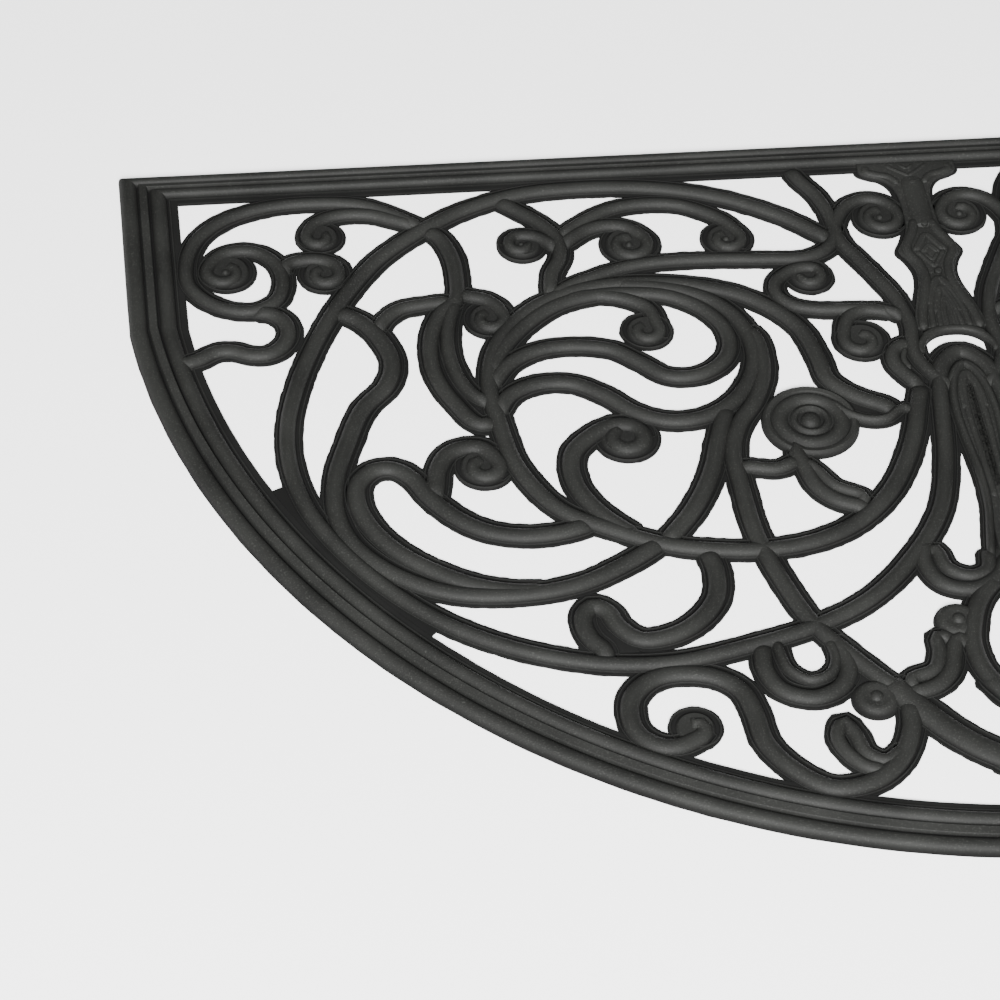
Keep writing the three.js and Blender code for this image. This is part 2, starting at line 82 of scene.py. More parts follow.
# The scrolls of the left half. A curl ends a bar: centre, first and last radius, first angle and turn
BARS = [
    {"name": "ring one", "ridge": 9, "knots": [
        (-44, -73), (-66, -54.5), (-92, -39.7), (-120, -31), (-155, -27.6), (-188, -30), (-214, -38.5),
        (-235.5, -51), (-258, -69.5), (-270, -84.5), (-281, -102), (-294, -128), (-303.3, -153),
        (-309.2, -178), (-309.7, -203), (-304, -229), (-291, -255), (-272, -280.5), (-250, -301),
        (-222, -317), (-190, -327), (-158, -329), (-126, -322.5), (-96, -313.5), (-70, -300), (-47, -277.5),
        (-29, -250), (-20.5, -220), (-16, -190), (-13.5, -172), (-9.5, -159.5), (0, -151.5)]},
    {"name": "loop", "ridge": 8, "knots": [
        (-235.5, -51), (-248, -41), (-263, -32.5), (-285, -29.5), (-308, -31), (-329, -39), (-341.5, -51),
        (-347, -66), (-346.5, -83), (-335.5, -96.5), (-320, -101.3), (-308.5, -95.5), (-304, -83),
        (-306, -70.5), (-313, -62.5), (-322.5, -60), (-331.5, -62.7), (-337, -69.5)],
     "curl": {"centre": (-329.7, -74.2), "first": 8.8, "last": 5.2, "from": 165, "turn": 290}},
    {"name": "curl b", "ridge": 8, "knots": [
        (-238, -50), (-248, -44.5), (-258, -40), (-268, -38.5), (-279, -40), (-286.5, -44.5)],
     "curl": {"centre": (-284.7, -53.7), "first": 6.2, "last": 4.4, "from": 150, "turn": 290}},
    {"name": "curl c", "ridge": 8.2, "knots": [
        (-304.5, -78), (-301, -71), (-293.6, -68.7), (-285.8, -69), (-279, -73)],
     "curl": {"centre": (-284.8, -79), "first": 7.5, "last": 4.2, "from": 8, "turn": -300}},
    {"name": "snake", "ridge": 9, "knots": [
        (-320, -101), (-311, -103.5), (-305.3, -109.3), (-304, -117.1), (-307.3, -124.9), (-314, -130),
        (-321.8, -130), (-330.7, -126.5), (-338, -127), (-346, -131.5), (-357, -135)]},
    {"name": "wave", "ridge": 9.8, "knots": [
        (-281, -102.5), (-270, -112.5), (-262, -126.5), (-259, -140), (-263, -154), (-275, -168.5),
        (-284, -190), (-290.5, -210), (-292.3, -230), (-287, -250), (-272, -268.5), (-250, -281.5),
        (-222, -285.5), (-194, -282), (-170, -270.5), (-153.7, -259.7)]},
    {"name": "wave fork", "ridge": 8.2, "knots": [
        (-263.5, -121), (-260, -111.5), (-252.5, -105), (-240, -102.5), (-226, -101.5)]},
    {"name": "inner", "ridge": 10, "knots": [
        (-206, -283.5), (-222, -283), (-237, -278.5), (-252, -270), (-266.5, -258), (-277, -243.5), (-282.3, -228), (-281.3, -214.5),
        (-274, -207), (-265.5, -206.5), (-257.5, -213), (-250.5, -226), (-240, -239), (-228, -247.5),
        (-212, -251.5), (-196, -250.5), (-181, -245.5)]},
    {"name": "curl n", "ridge": 10, "knots": [
        (-250.5, -228), (-247.5, -218), (-245.5, -208), (-240, -199), (-231.5, -195.7), (-224.5, -197)],
     "curl": {"centre": (-225.5, -208.7), "first": 7.4, "last": 5.2, "from": 25, "turn": -320}},
    {"name": "bar seven", "ridge": 9, "knots": [
        (-235.5, -51), (-229, -58), (-224.7, -71), (-224, -87), (-226, -100.5), (-233.5, -109), (-239, -121),
        (-241.3, -136), (-240, -151), (-234, -167), (-224, -182)]},
    {"name": "bar seven twin", "ridge": 8, "knots": [
        (-226, -101), (-230.5, -115), (-232.7, -132), (-231, -148), (-225.5, -162), (-218, -171)]},
    {"name": "curl o", "ridge": 8.4, "knots": [(-225.5, -95), (-219.5, -98.7), (-213, -101), (-208, -105.5)],
     "curl": {"centre": (-212, -114.5), "first": 7.2, "last": 5, "from": 20, "turn": -310}},
    {"name": "stalk", "ridge": 8.4, "knots": [
        (-200, -33.5), (-190, -42), (-181, -51), (-174, -63), (-174.5, -75), (-180, -87), (-183, -103)]},
    {"name": "curl d", "ridge": 8, "knots": [(-175, -70), (-180, -63.5), (-186.5, -59.5)],
     "curl": {"centre": (-191.3, -65.5), "first": 7, "last": 3.6, "from": 105, "turn": 310}},
    {"name": "arch f", "ridge": 7.8, "knots": [
        (-174, -63), (-160, -50.8), (-146, -43.5), (-130, -41), (-115, -42.7), (-104, -48), (-94, -56)],
     "curl": {"centre": (-95, -68.5), "first": 7.5, "last": 5, "from": 30, "turn": -320}},
    {"name": "curl e", "ridge": 8.4, "knots": [
        (-174, -68), (-168, -63), (-160, -57.5), (-150, -55), (-140.5, -57)],
     "curl": {"centre": (-141, -69), "first": 9.2, "last": 6.3, "from": 40, "turn": -345}},
    {"name": "top bar", "ridge": 7.8, "knots": [
        (-183, -102), (-172.5, -95), (-160, -89.5), (-146, -84.5), (-130, -82), (-105, -81.7), (-80, -83.3),
        (-62, -84), (-51.5, -80.3), (-45, -73), (-42.8, -64.5), (-39.5, -56), (-33.5, -48.5), (-26.5, -45.3),
        (-19, -46.3), (-13.5, -51)],
     "curl": {"centre": (-19.8, -58.6), "first": 9, "last": 6, "from": 25, "turn": -325}},
    {"name": "ring two", "ridge": 9.5, "knots": [
        (-41, -184), (-53, -177), (-63.5, -166), (-66, -150), (-71, -131), (-82.5, -116), (-99, -104.5),
        (-120, -98), (-145, -95.3), (-168, -98), (-188, -106.5), (-203.5, -120.5), (-213, -138), (-217, -158),
        (-215.3, -182), (-210, -211), (-195, -237), (-175, -250), (-153.7, -260.5), (-134, -265.5),
        (-110, -267.5), (-88, -264.5), (-68, -255.5), (-50, -238.5), (-38, -218.5), (-30.5, -200),
        (-26, -184), (-21, -171)]},
    {"name": "ring inner", "ridge": 8.8, "knots": [
        (-215, -152), (-208, -134), (-196, -119.5), (-181, -108), (-163, -102.5), (-144, -102), (-127, -105.5),
        (-113.5, -115), (-105.5, -128), (-105, -141), (-111, -151.5), (-123, -158.3), (-136, -157.5),
        (-147, -148), (-159, -138.5), (-176, -135), (-192, -136.5), (-206, -144), (-214, -158)]},
    {"name": "ring middle", "ridge": 9.2, "knots": [
        (-152, -97), (-130, -99.5), (-112, -107), (-101, -118.5), (-95.5, -132), (-94.5, -147), (-99, -162), (-109, -176),
        (-124, -185), (-140, -186), (-154, -179.5), (-167, -167), (-180, -159), (-196, -158.5), (-209, -165),
        (-214, -177)]},
    {"name": "curl g", "ridge": 8.2, "knots": [
        (-178, -106), (-168, -102.5), (-155.3, -103.3), (-145.5, -107), (-138.5, -112.8)],
     "curl": {"centre": (-141.6, -127.7), "first": 6.8, "last": 4.8, "from": 40, "turn": -330}},
    {"name": "curl l", "ridge": 10, "knots": [
        (-163, -254), (-178, -240), (-186.3, -222), (-185.5, -204), (-176, -193), (-165, -187)],
     "curl": {"centre": (-160.3, -195.5), "first": 8.6, "last": 7, "from": 80, "turn": -350}},
    {"name": "right bar", "ridge": 9.8, "knots": [
        (-110, -181), (-119.5, -200), (-126, -220), (-137, -241), (-153.7, -259.7)]},
    {"name": "upright", "ridge": 9.5, "knots": [
        (-95, -128), (-92.3, -136), (-91.3, -146), (-92.7, -160), (-99, -176), (-108.5, -190.5), (-113.8, -206.5), (-113.8, -228),
        (-112, -258), (-105.3, -287), (-96.5, -311.5), (-83, -332), (-67, -351)]},
    {"name": "swag", "ridge": 14, "knots": [
        (-72, -345), (-60, -362.5), (-46, -379.5), (-33, -390), (-17, -398), (0, -401)]},
    {"name": "leaf a", "ridge": 8, "knots": [(-112, -215), (-104, -218.5), (-96, -219.5), (-88, -216)]},
    {"name": "leaf b", "ridge": 9, "knots": [
        (-86, -208), (-83.5, -221), (-80.5, -232), (-73.5, -240.5), (-63, -246)]},
    {"name": "leaf b inner", "ridge": 7, "knots": [(-82, -212), (-78.5, -223), (-73, -232), (-61, -240)]},
    {"name": "leaf c", "ridge": 5.5, "reach": 5, "knots": [
        (-66, -179), (-60, -187.5), (-51, -192.5), (-42, -192.5), (-34, -186.5)]},
    {"name": "top stalk", "ridge": 8.2, "sunk": True, "knots": [
        (-57.3, -21), (-53.5, -30), (-47.8, -40.5), (-44, -53), (-42.8, -64), (-41.5, -74),
        (-36, -85), (-29.5, -98.5), (-24, -111), (-20.8, -123), (-19.5, -134), (-21, -145), (-20.8, -153),
        (-16.5, -164), (-10.5, -176)]},
    {"name": "curl j", "ridge": 7.6, "knots": [
        (-20, -129), (-29, -122.3), (-45, -120.3), (-60, -119.3), (-71, -116), (-77.5, -108.5), (-77, -100),
        (-71, -93.8), (-64, -90.8)],
     "curl": {"centre": (-60.8, -96.6), "first": 6.7, "last": 5, "from": 70, "turn": -290}},
    {"name": "curl k", "ridge": 8.2, "knots": [
        (-24, -125.5), (-31, -122.3), (-40, -121.3), (-46.5, -124.8), (-50, -131.5)],
     "curl": {"centre": (-44, -141.3), "first": 8, "last": 5.3, "from": 155, "turn": 320}},
    {"name": "base leaf", "ridge": 8.5, "knots": [
        (-24, -142), (-30.5, -149), (-31.5, -157.5), (-27, -166.5), (-20, -174)]},
    {"name": "curl p", "ridge": 10, "knots": [
        (-135.5, -265), (-133, -279), (-135.5, -294), (-145, -306.5), (-158, -314), (-171, -315),
        (-179.5, -306.5), (-182.5, -298.5), (-188.3, -294.5), (-193, -299),
        (-193.8, -306), (-191.5, -314), (-187, -320.5)]},
    {"name": "scroll q", "ridge": 10.2, "knots": [
        (-61, -357), (-66, -374), (-75, -391), (-88, -400.5), (-104, -402), (-118.5, -391), (-127.5, -376),
        (-129.5, -360), (-133, -347), (-143, -338.5), (-158, -335.5), (-170, -338), (-179.5, -347.5),
        (-181.2, -360.5), (-178.3, -368.5), (-171, -374.2), (-163, -374.8)],
     "curl": {"centre": (-155.7, -366), "first": 5.5, "last": 1.5, "from": 262, "turn": 260, "tighter": 0}},
    {"name": "scroll r", "ridge": 8, "knots": [
        (-78, -397), (-88, -392.5), (-95, -384), (-97.5, -375), (-93.5, -367.8), (-89.5, -375.5), (-87, -385),
        (-79.5, -389.5), (-71.5, -383)]},
    {"name": "curl x", "ridge": 9.6, "knots": [
        (-122, -318), (-121, -337), (-116, -348), (-103, -353.3), (-91, -348), (-85.8, -338), (-87, -328), (-91, -320.5)]},
    {"name": "curl x inner", "ridge": 6, "knots": [
        (-113.5, -318), (-111.5, -337), (-103, -344), (-94.5, -341), (-90.5, -333), (-91, -320.5)]},
    {"name": "boss leaf", "ridge": 9, "knots": [
        (-37, -326), (-40, -334), (-43, -343), (-51, -351), (-64, -354.5)]},
    {"name": "boss leaf inner", "ridge": 8, "knots": [
        (-45, -324), (-46, -333), (-50, -342), (-61, -347)]},
    {"name": "low leaf", "ridge": 9, "knots": [
        (-40, -268), (-42, -280.5), (-36.5, -293.5), (-24, -297.5), (-12, -291), (-6, -278)]},
    {"name": "low leaf inner", "ridge": 8, "knots": [
        (-36, -274), (-33, -284.5), (-25, -290), (-16, -287.5), (-11, -277)]},
    {"name": "edge bar", "ridge": 9.8, "knots": [
        (-12, -290), (-22, -303), (-28, -317), (-30.5, -331), (-28, -346), (-18, -361), (0, -371)]},
    {"name": "middle bar", "ridge": 5, "knots": [
        (0, -160.5), (-4.5, -165), (-8, -175), (-9.5, -190), (-9, -205), (-7, -230), (-7.5, -250),
        (-10.5, -268), (-16, -281)]},
]

# How closely stations follow each other along a bar, in millimetres
RIDGE_PITCH = 2.8
FLANGE_PITCH = 1.9

# A curl's ridge winds up tightly on a ledge, narrows a little, and ends round a pit or an eye
CURL_STEP = 14
CURL_LEAD = 7
CURL_TAPER = 0.85
CURL_TIGHTER = 1.4
LEDGE = 1.4
DISC_TOP = 2.9
EYE = {"radius": 2.2, "top": 3.8}

EYED = {"loop", "curl d", "curl e", "arch f", "top bar"}

# How near to another bar a bar's end is carried on to its middle, and how far the end knot may move
SEAT_REACH = 9
SEAT_MOVE = 4
BLUNT_ABOVE = -19
END_REACH = 4.5
SINK_REACH = 5.5
SUNK_END = 0.1

ROSETTE = {"at": (-76.2, -190.9), "profile": [
    (0, 5.0), (1.8, 4.9), (3.4, 4.2), (4.6, 2.4), (5.6, 2.3), (6.4, 3.8), (7.6, 4.3), (8.8, 3.8), (9.5, 2.6),
    (10.3, 2.6), (11.2, 4.0), (13.4, 4.9), (15.4, 4.5), (17.0, 2.9), (17.6, 2.4), (18.4, 3.4), (20.2, 3.8),
    (21.4, 3.0), (22.0, 1.6), (22.2, 0)]}
BOSS_PROFILE = [
    (0, 5.2), (1.3, 5.1), (2.3, 4.4), (2.9, 3.7), (3.8, 3.6), (5.6, 4.2), (7.4, 4.0), (8.8, 3.1), (9.6, 1.8),
    (10.2, 1.5), (10.6, 0)]
BOSSES = [{"name": "low boss", "at": (-77.3, -355.5)}, {"name": "middle boss", "at": (-34.2, -315)}]

# The stem as half widths down its length, and the leaf on the middle line under its arch
STEM = [
    {"y": -20.5, "half": 23.5}, {"y": -27, "half": 23}, {"y": -29.8, "half": 19.5}, {"y": -32, "half": 14},
    {"y": -36, "half": 10}, {"y": -42, "half": 8}, {"y": -60, "half": 7.5}, {"y": -68, "half": 8.5},
    {"y": -75, "half": 11}, {"y": -83, "half": 14.5}, {"y": -89, "half": 11.5}, {"y": -97, "half": 9},
    {"y": -105, "half": 9.5}, {"y": -114, "half": 12}, {"y": -125, "half": 15}, {"y": -136, "half": 17}]
LEAF = [
    {"y": -160, "half": 0.8}, {"y": -164, "half": 4}, {"y": -172, "half": 7}, {"y": -185, "half": 9},
    {"y": -205, "half": 8.5}, {"y": -230, "half": 6.5}, {"y": -250, "half": 7}, {"y": -268, "half": 8},
    {"y": -290, "half": 9}]

# Fine ridges of the left half that stand on the stem and the leaf
RIBS = [
    {"name": "cornice lobe", "ridge": 4, "knots": [(-19.5, -23), (-21, -26.5), (-16.5, -28.8), (-10.5, -31), (-6.5, -36.5)]},
    {"name": "cornice point", "ridge": 2.6, "knots": [(-11, -22.5), (-5.5, -27), (0, -31)]},
    {"name": "cornice inner", "ridge": 2.2, "knots": [(-4.5, -22.5), (0, -26)]},
    {"name": "lozenge side", "ridge": 5, "knots": [
        (-4, -62), (-6.5, -70), (-11.5, -82.5), (-7.5, -93), (-6.5, -103), (-9, -114), (-12.5, -126),
        (-14, -137)]},
    {"name": "lozenge upper", "ridge": 2.8, "knots": [(0, -72.5), (-3.6, -78), (-7.2, -84)]},
    {"name": "lozenge lower", "ridge": 2.8, "knots": [(-7.2, -83.5), (-3.6, -90), (0, -96)]},
    {"name": "core upper", "ridge": 2.2, "knots": [(0, -80), (-2, -82.5), (-4, -85.5)]},
    {"name": "core lower", "ridge": 2.2, "knots": [(-4, -85), (-2, -88.5), (0, -91)]},
    {"name": "lancet outer", "ridge": 3.4, "knots": [(0, -103), (-4.5, -111), (-7.8, -122), (-9.3, -137)]},
    {"name": "lancet middle", "ridge": 3, "knots": [(0, -109), (-3.2, -117), (-5, -127), (-5.8, -137)]},
    {"name": "lancet inner", "ridge": 2.4, "knots": [(0, -116), (-1.8, -123), (-2.4, -137)]},
    {"name": "arch rim", "ridge": 3.6, "knots": [(0, -136.5), (-8, -137.6), (-14, -141.5), (-17.5, -147.5), (-18.5, -153)]},
    {"name": "base crescent", "ridge": 2.8, "knots": [(-25, -148), (-27, -155), (-25, -162)]},
    {"name": "leaf rib", "ridge": 3.4, "knots": [(0, -166), (-3.2, -174), (-4.4, -190), (-4, -215), (-3.4, -245)]},
    {"name": "leaf vein", "ridge": 2.4, "knots": [(0, -174), (0, -200), (0, -240), (0, -270)]},
]
STEM_TOP = 3.3
RIB_FOOT = 2.9
RIB_SLOPE = 0.75
NECK = {"ridge": 13, "knots": [(0, -31), (0, -45), (0, -58), (0, -69)]}
STUDS = [{"at": (0, -37), "radius": 1.8}, {"at": (0, -66), "radius": 1.8}, {"at": (0, -99.5), "radius": 1.8}]

# Flat webs that close small hollows between bars, and one between the outer ring and the border
WEBS = [
    {"name": "stem foot", "corners": [(-32, -146), (-33, -156), (-27, -168), (-18, -170), (-21, -150), (-26, -142)]},
    {"name": "low boss notch", "corners": [(-86, -341), (-78, -341), (-77, -347), (-84, -349)]},
    {"name": "leaf c slit", "corners": [(-62, -178), (-50, -180), (-38, -186), (-42, -191), (-52, -191), (-62, -186)]},
    {"name": "curl p hollow", "corners": [
        (-192, -300), (-184, -297), (-177, -310), (-172, -321), (-198, -321), (-197, -308)]},
]
WEB_STEPS = 16
RIM_WEB = {"from": 204.8, "to": 222.6, "inner": 340, "outer": 352}


def smooth_path(knots):
    """Centripetal Catmull-Rom curve through the knots, as a fine list of points."""
    points = [Vector((x, y * ROW_STRETCH)) for x, y in knots]
    points = [2 * points[0] - points[1], *points, 2 * points[-1] - points[-2]]
    path = []
    for a, b, c, d in zip(points, points[1:], points[2:], points[3:]):
        t0 = 0.0
        t1 = t0 + math.sqrt((b - a).length)
        t2 = t1 + math.sqrt((c - b).length)
        t3 = t2 + math.sqrt((d - c).length)
        steps = max(4, round((c - b).length))
        for i in range(steps):
            t = t1 + (t2 - t1) * i / steps
            ab = a.lerp(b, (t - t0) / (t1 - t0))
            bc = b.lerp(c, (t - t1) / (t2 - t1))
            cd = c.lerp(d, (t - t2) / (t3 - t2))
            path.append(ab.lerp(bc, (t - t0) / (t2 - t0)).lerp(bc.lerp(cd, (t - t1) / (t3 - t1)),
                                                               (t - t1) / (t2 - t1)))
    return [*path, points[-2]]


def seated(knots, others=()):
    """Carries the first knot to the middle of the bar it meets, or over the middle line. Tells which."""
    if knots[0][0] == 0:
        return [*((-x, y) for x, y in knots[2:0:-1]), *knots], True
    if not others:
        return knots, False
    start = Vector((knots[0][0], knots[0][1] * ROW_STRETCH))
    seat = min(others, key=lambda point: (point - start).length)
    gap = (seat - start).length
    if gap > SEAT_REACH:
        return knots, False
    place = (seat.x, seat.y / ROW_STRETCH)
    return ([place, *knots[1:]] if gap < SEAT_MOVE else [place, *knots]), True


def evenly(path, pitch):
    """The same path with its points at an even pitch, and how far along each lies."""
    travelled = [0.0, *accumulate((b - a).length for a, b in pairwise(path))]
    count = max(3, round(travelled[-1] / pitch))
    points, at, i = [], [], 0
    for step in range(count + 1):
        distance = travelled[-1] * step / count
        while i < len(path) - 2 and travelled[i + 1] < distance:
            i += 1
        share = (distance - travelled[i]) / (travelled[i + 1] - travelled[i])
        points.append(path[i].lerp(path[i + 1], share))
        at.append(distance)
    return points, at


def spiral(curl, tighter=CURL_TIGHTER):
    """Points of a curl, from where it leaves the bar to its inner end."""
    tighter = curl.get("tighter", tighter)
    centre = Vector(curl["centre"])
    steps = math.ceil(abs(curl["turn"]) / CURL_STEP)
    points = []
    for i in range(1, steps + 1):
        share = i / steps
        radius = curl["first"] + (curl["last"] - curl["first"]) * share - tighter * min(1, 1.6 * share)
        angle = math.radians(curl["from"] + curl["turn"] * share)
        points.append(centre + radius * Vector((math.cos(angle), math.sin(angle))))
    return points


def placed(point, across, base, rise):
    """A matrix that takes a section's (across, along, up) to its place on a path."""
    along = Vector((-across.y, across.x)).normalized()
    return Matrix((
        (across.x, along.x, 0, point.x),
        (across.y, along.y, 0, point.y),
        (0, 0, rise, base),
        (0, 0, 0, 1)))


def swept(section, places, closed=False):
    """Carries a closed section along a row of places, one extrusion for each."""
    mesh = bmesh.new()
    ring = [mesh.verts.new(places[0] @ Vector((across, 0, up))) for across, up in section]
    first = [mesh.edges.new(pair) for pair in zip(ring, [*ring[1:], ring[0]])]
    edges = first
    for before, place in pairwise(places):
        grown = bmesh.ops.extrude_edge_only(mesh, edges=edges)["geom"]
        new = {item for item in grown if isinstance(item, bmesh.types.BMVert)}
        edges = [item for item in grown if isinstance(item, bmesh.types.BMEdge) and new.issuperset(item.verts)]
        bmesh.ops.transform(mesh, matrix=place @ before.inverted(), verts=list(new))
    if closed:
        bmesh.ops.bridge_loops(mesh, edges=[*edges, *first])
    else:
        bmesh.ops.holes_fill(mesh, edges=[*edges, *first])
    bmesh.ops.recalc_face_normals(mesh, faces=mesh.faces)
    return mesh


def half_round(half, foot, crest, middle=0.0, steps=10):
    """The upper outline of a rounded band, from its left foot to its right one."""
    return [(middle - half * math.cos(math.pi * i / steps), foot + (crest - foot) * math.sin(math.pi * i / steps))
            for i in range(steps + 1)]


def ridge_section(half):
    return [(-half, -FLANGE_TOP), *half_round(half, 0, CREST - FLANGE_TOP), (half, -FLANGE_TOP)]


def step_section(half):
    rail = [(half, 0), (half - 0.15, STEP_TOP - 0.25), (half - 0.4, STEP_TOP), (half - 0.75, STEP_TOP - 0.15),
            (half - 1.1, GROOVE)]
    return [*rail, *[(-across, up) for across, up in reversed(rail)]]


def flange_section(half):
    rail = [(half, 0), (half, FLANGE_TOP - 0.3), (half - 0.35, FLANGE_TOP), (half - 1.4, FLANGE_TOP - 0.1)]
    return [*rail, *[(-across, up) for across, up in reversed(rail)]]


def bar_places(path, pitch, shift, base=0.0, taper=None, reach=4.5, sunk=(False, False)):
    """Stations of a bar. A free end is rounded, a seated one sinks, and a taper narrows the bar."""
    points, at = evenly(path, pitch)
    length = at[-1]
    places = []
    for i, (point, distance) in enumerate(zip(points, at)):
        before, after = points[max(i - 1, 0)], points[min(i + 1, len(points) - 1)]
        along = (after - before).normalized()
        size = 1.0
        if taper and distance > taper["from"]:
            size -= (1 - taper["to"]) * (distance - taper["from"]) / (length - taper["from"])
        from_end = min(distance, length - distance)
        first_half = distance < length / 2
        rise = 1.0
        if points[0 if first_half else -1].y < BLUNT_ABOVE:
            if sunk[0 if first_half else 1]:
                rise -= (1 - SUNK_END) * max(0, 1 - from_end / SINK_REACH) ** 1.5
            elif from_end < reach:
                size *= math.sqrt(max(0.04, 1 - (1 - from_end / reach) ** 2))
        across = Vector((along.y, -along.x)) * size
        places.append(placed(point + shift, across, base, size * rise if base else 1))
    return places


def gather(meshes):
    """One bmesh out of several, which are freed."""
    whole = bmesh.new()
    for part in meshes:
        data = bpy.data.meshes.new("part")
        part.to_mesh(data)
        part.free()
        whole.from_mesh(data)
        bpy.data.meshes.remove(data)
    return whole


def turned(profile, at, steps=52):
    """A round boss from its profile of radius and height, standing at a plan point."""
    mesh = bmesh.new()
    corners = [mesh.verts.new((radius, 0, up)) for radius, up in profile]
    edges = [mesh.edges.new(pair) for pair in pairwise(corners)]
    bmesh.ops.spin(mesh, geom=[*corners, *edges], cent=(0, 0, 0), axis=(0, 0, 1), angle=2 * math.pi,
                   steps=steps, use_merge=True)
    bmesh.ops.remove_doubles(mesh, verts=mesh.verts, dist=0.01)
    rim = [edge for edge in mesh.edges if edge.is_boundary]
    bmesh.ops.holes_fill(mesh, edges=rim)
    bmesh.ops.recalc_face_normals(mesh, faces=mesh.faces)
    place = Vector((at[0], at[1] * ROW_STRETCH)) + ROW_SHIFT
    bmesh.ops.translate(mesh, vec=(*place, 0), verts=mesh.verts)
    return mesh


def plateau(outline, bottom, top, edge=0.5):
    """A flat raised piece with the outline's shape and a rounded upper edge."""
    mesh = bmesh.new()
    face = mesh.faces.new([mesh.verts.new((*point, bottom)) for point in outline])
    grown = bmesh.ops.extrude_face_region(mesh, geom=[face])["geom"]
    lifted = [item for item in grown if isinstance(item, bmesh.types.BMVert)]
    bmesh.ops.translate(mesh, vec=(0, 0, top - bottom), verts=lifted)
    mesh.faces.ensure_lookup_table()
    bmesh.ops.recalc_face_normals(mesh, faces=mesh.faces)
    upper = [edge_ for edge_ in mesh.edges if all(vert.co.z > top - 0.01 for vert in edge_.verts)]
    bmesh.ops.bevel(mesh, geom=upper, offset=edge, affect="EDGES", segments=3, profile=0.5, material=-1)
    return mesh


def ragged(mesh, amount, top):
    """Roughens the low outer edges a little, the same at every height so that walls stay upright."""
    for vert in mesh.verts:
        if vert.co.z <= top:
            place = Vector((vert.co.x, vert.co.y, 7.0))
            coarse = noise.noise_vector(place * 0.21)
            fine = noise.noise_vector(place * 0.9)
            vert.co.x += amount * (coarse.x * 0.8 + fine.x * 0.7)
            vert.co.y += amount * (coarse.y * 0.8 + fine.y * 0.7)


def finished(name, mesh):
    bmesh.ops.transform(mesh, matrix=TO_FRAME, verts=mesh.verts)
    for face in mesh.faces:
        face.smooth = True
    data = bpy.data.meshes.new(name)
    mesh.to_mesh(data)
    mesh.free()
    data.set_sharp_from_angle(angle=SHARP_ANGLE)
    piece = bpy.data.objects.new(name, data)
    bpy.context.scene.collection.objects.link(piece)
    piece.data.materials.append(rubber)
    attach(piece, "root")
    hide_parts("mat")
    return piece


def rubber_material():
    """Near-black moulded rubber: semi-matt, finely pitted, with faint grey dust in patches and painted shade in the
    low parts.
    """
    material = bpy.data.materials.new("moulded rubber")
    material.use_nodes = True
    nodes, links = material.node_tree.nodes, material.node_tree.links
    shader = nodes["Principled BSDF"]
    shader.inputs["Specular IOR Level"].default_value = 0.14

    coordinates = nodes.new("ShaderNodeTexCoord")

    patches = nodes.new("ShaderNodeTexNoise")
    patches.inputs["Scale"].default_value = 34
    patches.inputs["Detail"].default_value = 5
    links.new(coordinates.outputs["Object"], patches.inputs["Vector"])

    speckle = nodes.new("ShaderNodeTexNoise")
    speckle.inputs["Scale"].default_value = 1400
    speckle.inputs["Detail"].default_value = 3
    links.new(coordinates.outputs["Object"], speckle.inputs["Vector"])

    # Painted shade: the colour darkens with falling height, so the grooves and the flanges are darker than the crests,
    # and only the crests carry grey dust flecks; the low parts are also rougher and duller
    split = nodes.new("ShaderNodeSeparateXYZ")
    links.new(coordinates.outputs["Object"], split.inputs["Vector"])
    height = nodes.new("ShaderNodeMapRange")
    height.interpolation_type = "SMOOTHSTEP"
    height.inputs["From Min"].default_value = 0.0009
    height.inputs["From Max"].default_value = 0.0040
    links.new(split.outputs["Z"], height.inputs["Value"])

    def tone(low, high):
        ramp = nodes.new("ShaderNodeValToRGB")
        ramp.color_ramp.elements[0].position = 0.34
        ramp.color_ramp.elements[0].color = (low, low * 1.03, low * 0.94, 1)
        ramp.color_ramp.elements[1].position = 0.72
        ramp.color_ramp.elements[1].color = (high, high * 1.03, high * 0.94, 1)
        links.new(patches.outputs["Fac"], ramp.inputs["Fac"])
        return ramp.outputs["Color"]

    flecks = nodes.new("ShaderNodeValToRGB")
    flecks.color_ramp.elements[0].position = 0.56
    flecks.color_ramp.elements[0].color = (0, 0, 0, 1)
    flecks.color_ramp.elements[1].position = 0.74
    flecks.color_ramp.elements[1].color = (0.5, 0.5, 0.5, 1)
    links.new(speckle.outputs["Fac"], flecks.inputs["Fac"])

    dusty = nodes.new("ShaderNodeMix")
    dusty.data_type = "RGBA"
    dusty.inputs["B"].default_value = (0.034, 0.035, 0.032, 1)
    links.new(flecks.outputs["Color"], dusty.inputs["Factor"])
    links.new(tone(0.0062, 0.0105), dusty.inputs["A"])

    colour = nodes.new("ShaderNodeMix")
    colour.data_type = "RGBA"
    links.new(height.outputs["Result"], colour.inputs["Factor"])
    # Painted shade: this darker tone is the colour given to the low parts
    links.new(tone(0.0014, 0.0028), colour.inputs["A"])
    links.new(dusty.outputs["Result"], colour.inputs["B"])
    links.new(colour.outputs["Result"], shader.inputs["Base Color"])

    sheen = nodes.new("ShaderNodeMapRange")
    sheen.inputs["To Min"].default_value = 0.92
    sheen.inputs["To Max"].default_value = 0.64
    links.new(height.outputs["Result"], sheen.inputs["Value"])
    links.new(sheen.outputs["Result"], shader.inputs["Roughness"])

    skin = nodes.new("ShaderNodeBump")
    skin.inputs["Strength"].default_value = 0.35
    skin.inputs["Distance"].default_value = 0.00025
    links.new(speckle.outputs["Fac"], skin.inputs["Height"])
    links.new(skin.outputs["Normal"], shader.inputs["Normal"])
    return material


